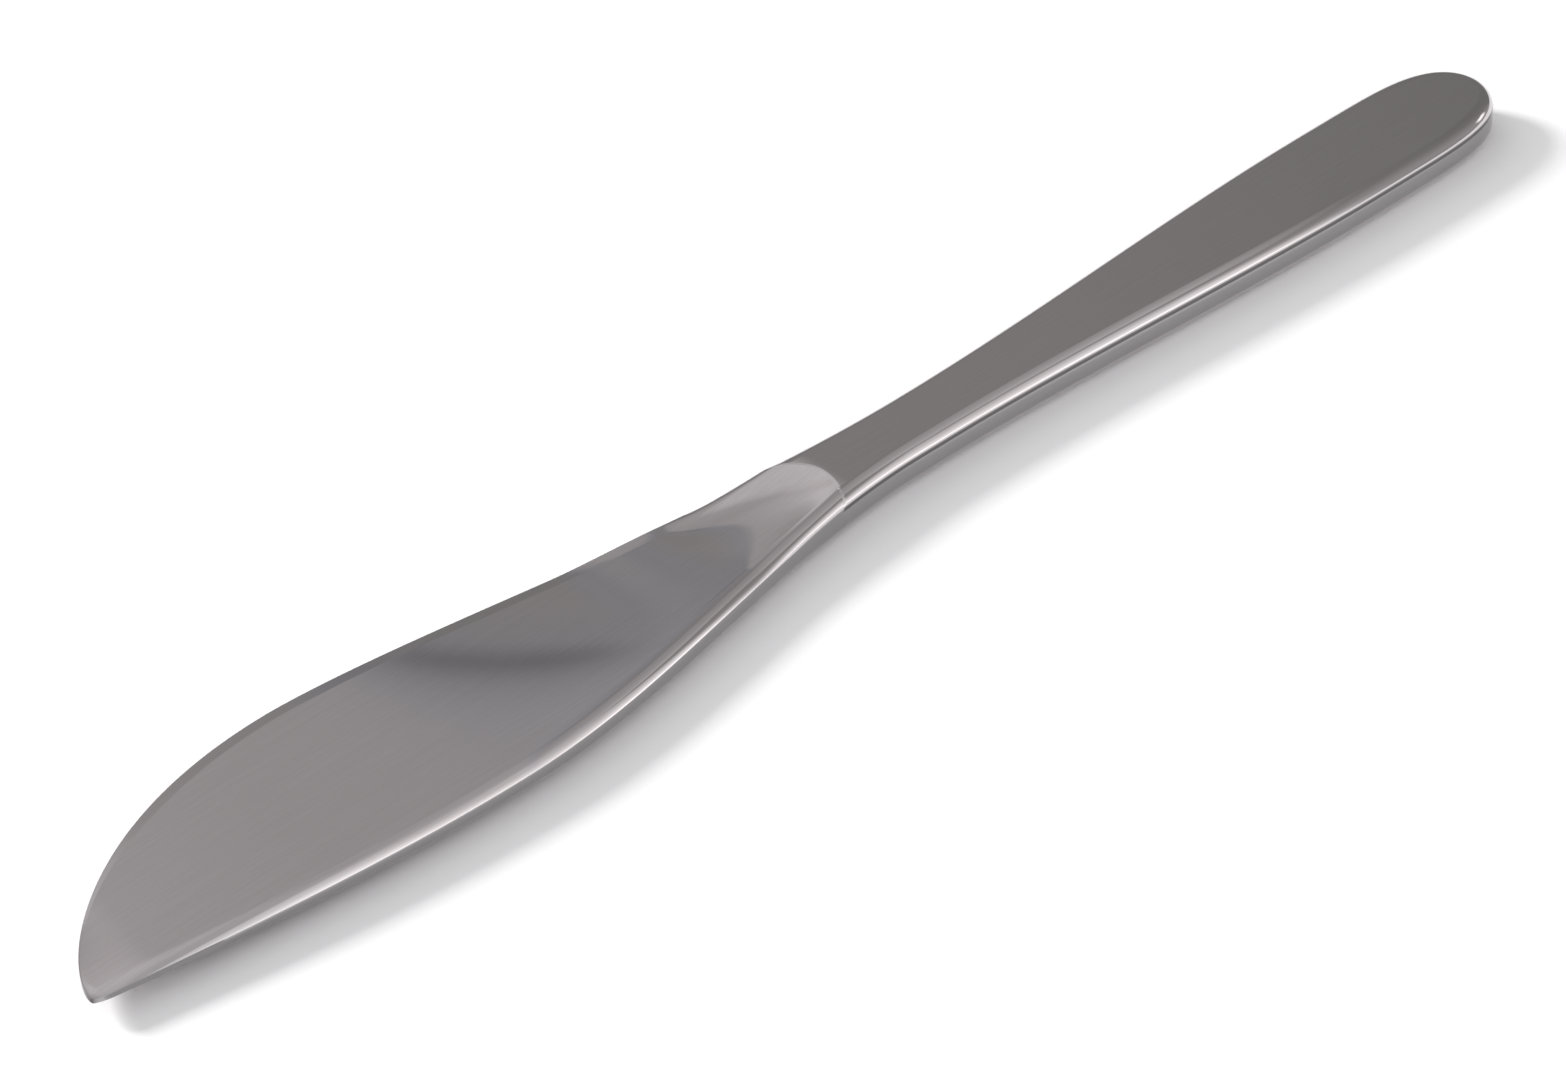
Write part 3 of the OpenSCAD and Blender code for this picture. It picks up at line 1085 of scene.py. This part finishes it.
@dataclass
class Studio:
    """A pale floor, a softly lit room with a lamp and some panels, and the camera of the photograph."""

    azimuth: float = -45.364
    elevation: float = 37.0
    distance: float = 0.8
    focal_px: float = 7646.4
    centre_px: tuple[float, float] = (816.4, 513.7)
    image_px: tuple[int, int] = (1566, 1072)
    aim: tuple[float, float] = (0.00046, -0.000125)
    sensor: float = 36.0
    floor_size: float = 12.0
    floor_colour: str = "fbfafa"
    sky_levels: Levels = (
        (0, 0.36), (20, 0.42), (50, 0.33), (75, 0.25), (113, 0.22), (133, 0.23), (153, 0.233), (180, 0.285)
    )
    left_share: Levels = (
        (15, 0.1), (60, 0.35), (92, 0.55), (115, 0.9), (122, 1.0), (143, 1.0), (157, 0.25), (180, 0.25)
    )
    left_levels: Levels = (
        (0.0, 0.9), (0.26, 0.56), (0.30, 0.51), (0.36, 0.46), (0.395, 0.37), (0.42, 0.258), (0.46, 0.23),
        (0.52, 0.195), (0.536, 0.095), (0.55, 0.09), (0.60, 0.07), (0.644, 0.023), (0.66, 0.0),
    )
    cards: tuple[Card, ...] = (
        Card(
            spread=((0.519, 0.0), (0.527, 0.3), (0.5295, 1.0), (0.5325, 1.0), (0.537, 0.0)),
            rise=((139.7, 0.0), (140.3, 1.0), (140.7, 1.0), (141.1, 0.0)),
            change=-0.19,
        ),
        Card(
            spread=((0.514, 0.0), (0.520, 1.0), (0.5265, 1.0), (0.533, 0.0)),
            rise=((141.1, 0.0), (141.6, 1.0), (143.5, 1.0), (146.0, 0.0)),
            change=-0.065,
        ),
    )
    left_tints: tuple[tuple[float, str], ...] = (
        (0.30, "fcfdff"), (0.40, "fffdfd"), (0.515, "fffdfd"), (0.530, "f6f8ff"), (0.545, "fffdfd"),
    )
    lamp_at: Spot = (-0.578, 1.289, 0.751)
    lamp_size: float = 0.45
    lamp_watts: float = 26.0
    panels: tuple[Panel, ...] = (
        Panel(
            "front_panel", centre=(0.0775, -0.165, 0.125), size=(0.315, 0.25), tilt=90.0,
            across=(
                (0.0, 1.6), (0.04, 1.15), (0.09, 0.82), (0.175, 0.60), (0.37, 0.38), (0.63, 0.28),
                (1.0, 0.24),
            ),
            along=(
                (0.0, 0.0), (0.1, 1.35), (0.25, 1.35), (0.40, 1.05), (0.62, 1.2), (0.80, 1.15), (0.9, 0.22),
                (0.96, 0.0),
            ),
        ),
        Panel(
            "top_panel", centre=(0.06, -0.015, 0.25), size=(0.44, 0.30),
            across=((0.0, 0.22), (0.3, 0.17), (0.55, 0.13), (0.75, 0.10), (0.9, 0.04), (1.0, 0.0)),
            along=(
                (0.0, 0.0), (0.3, 0.45), (0.36, 0.45), (0.5, 0.9), (0.65, 1.1), (0.8, 1.35), (0.9, 1.35),
                (1.0, 0.0),
            ),
        ),
        Panel(
            "right_card", centre=(0.35, -0.11, 0.075), size=(0.08, 0.08), tilt=90.0, turn=90.0,
            across=((0.0, 0.0), (0.3, 1.3), (0.7, 1.3), (1.0, 0.0)),
            along=((0.0, 0.0), (0.3, 1.0), (0.7, 1.0), (1.0, 0.0)),
        ),
        Panel(
            "scoop_card", centre=(0.017, 0.025, 0.028), size=(0.014, 0.022),
            across=(
                (0.0, 0.0), (0.14, 0.22), (0.36, 0.28), (0.5, 0.28), (0.6, 0.24), (0.77, 0.11), (1.0, 0.0)
            ),
            along=((0.0, 0.0), (0.25, 0.35), (0.36, 0.6), (0.5, 1.0), (0.8, 1.0), (1.0, 0.0)),
        ),
    )

    def build(self) -> None:
        """Builds the floor, the light and the camera."""
        self._floor()
        self._sky()
        self._lamp()
        for panel in self.panels:
            panel.build()
        self._camera()
        bpy.context.scene.view_settings.view_transform = "Standard"

    def _floor(self) -> None:
        """Lays the floor."""
        bpy.ops.object.select_all(action="DESELECT")
        bpy.ops.mesh.primitive_plane_add(size=self.floor_size)
        floor = bpy.context.object
        floor.name = "floor"
        # Uncoated paper scatters the light evenly, so that the floor has no gloss and mirrors nothing.
        material = bpy.data.materials.new("matt_white_paper")
        material.use_nodes = True
        tree = material.node_tree
        shader = tree.nodes["Principled BSDF"]
        shader.inputs["Base Color"].default_value = linear(self.floor_colour)
        shader.inputs["Roughness"].default_value = 1.0
        shader.inputs["Specular IOR Level"].default_value = 0.0
        floor.data.materials.append(material)

    def _sky(self) -> None:
        """Lights the room, which is brighter to the left and dimmer behind the knife on the right."""
        world = bpy.data.worlds.new("soft_room")
        bpy.context.scene.world = world
        world.use_nodes = True
        tree = world.node_tree
        tree.nodes.clear()
        way = add_node(tree, "ShaderNodeTexCoord").outputs["Generated"]
        parts = add_node(tree, "ShaderNodeSeparateXYZ", links={"Vector": way})
        front = add_node(tree, "ShaderNodeMath", {1: -1.0}, {0: parts.outputs["Y"]}, operation="MULTIPLY")
        turn = add_node(
            tree, "ShaderNodeMath", links={0: parts.outputs["Z"], 1: front.outputs["Value"]},
            operation="ARCTAN2",
        )
        share = add_node(
            tree, "ShaderNodeMath", {1: math.pi}, {0: turn.outputs["Value"]}, operation="DIVIDE"
        ).outputs["Value"]
        level = add_node(
            tree, "ShaderNodeValToRGB", links={"Fac": share}, stops=self._by_angle(self.sky_levels)
        ).outputs["Color"]
        weight = add_node(
            tree, "ShaderNodeValToRGB", links={"Fac": share}, stops=self._by_angle(self.left_share)
        ).outputs["Color"]
        left = add_node(
            tree, "ShaderNodeValToRGB", links={"Fac": parts.outputs["X"]}, stops=self.left_levels
        ).outputs["Color"]
        tint = add_node(
            tree, "ShaderNodeValToRGB", links={"Fac": parts.outputs["X"]}, stops=self.left_tints
        ).outputs["Color"]
        strength = add_node(
            tree, "ShaderNodeMath", links={0: left, 1: weight, 2: level}, operation="MULTIPLY_ADD"
        ).outputs["Value"]
        for card in self.cards:
            spread = add_node(
                tree, "ShaderNodeValToRGB", links={"Fac": parts.outputs["X"]}, stops=card.spread
            ).outputs["Color"]
            rise = add_node(
                tree, "ShaderNodeValToRGB", links={"Fac": share}, stops=self._by_angle(card.rise)
            ).outputs["Color"]
            patch = add_node(tree, "ShaderNodeMath", links={0: spread, 1: rise}, operation="MULTIPLY")
            strength = add_node(
                tree, "ShaderNodeMath", {1: card.change}, {0: patch.outputs["Value"], 2: strength},
                operation="MULTIPLY_ADD",
            ).outputs["Value"]
        light = add_node(tree, "ShaderNodeBackground", links={"Color": tint, "Strength": strength})
        add_node(tree, "ShaderNodeOutputWorld", links={"Surface": light.outputs["Background"]})

    @staticmethod
    def _by_angle(levels: Levels) -> Levels:
        """Returns levels by the share of the half turn over the knife, from the front to the back."""
        return tuple((angle / 180, grey) for angle, grey in levels)

    def _lamp(self) -> None:
        """Hangs the lamp behind the knife on the left."""
        bpy.ops.object.light_add(type="AREA", location=self.lamp_at)
        lamp = bpy.context.object
        lamp.name = "soft_lamp"
        lamp.rotation_euler = Vector(self.lamp_at).to_track_quat("Z", "Y").to_euler()
        lamp.data.shape = "DISK"
        lamp.data.size = self.lamp_size
        lamp.data.energy = self.lamp_watts

    def _camera(self) -> None:
        """Sets the camera up as in the photograph."""
        turn, lift = math.radians(self.azimuth), math.radians(self.elevation)
        back = Vector((math.sin(turn) * math.cos(lift), -math.cos(turn) * math.cos(lift), math.sin(lift)))
        right = Vector((math.cos(turn), math.sin(turn), 0.0))
        axes = Matrix((right, back.cross(right), back)).transposed().to_4x4()
        bpy.ops.object.camera_add()
        camera = bpy.context.object
        camera.name = "photo_camera"
        camera.matrix_world = Matrix.Translation(Vector((*self.aim, 0.0)) + self.distance * back) @ axes
        width, height = self.image_px
        camera.data.sensor_width = self.sensor
        camera.data.lens = self.focal_px / width * self.sensor
        camera.data.shift_x = (width / 2 - self.centre_px[0]) / width
        camera.data.shift_y = (self.centre_px[1] - height / 2) / width
        bpy.context.scene.camera = camera


def main() -> None:
    """Builds the knife and the studio."""
    logging.basicConfig(level=logging.INFO, format="%(message)s")
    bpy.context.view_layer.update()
    handle = Handle(Frame(Outline()), Grid())
    # Grinding along the blade leaves it bright, with faint streaks.
    blade_steel = GroundSteel("stainless_steel_ground", colour="d0cbcc", streak_colour="cbc6c7")
    # Buffed, the brazed handle has the same gloss; its seam line is braze and a painted dark reflection.
    handle_steel = GroundSteel(
        "stainless_steel_buffed", colour="cfcacb", streak_colour="cbc6c7", seam_and_reflection_mm=handle.seam_and_reflection_height
    )
    Blade(handle).build(blade_steel)
    handle.build(handle_steel)
    Filling().dress()
    Studio().build()


if __name__ == "__main__":
    main()
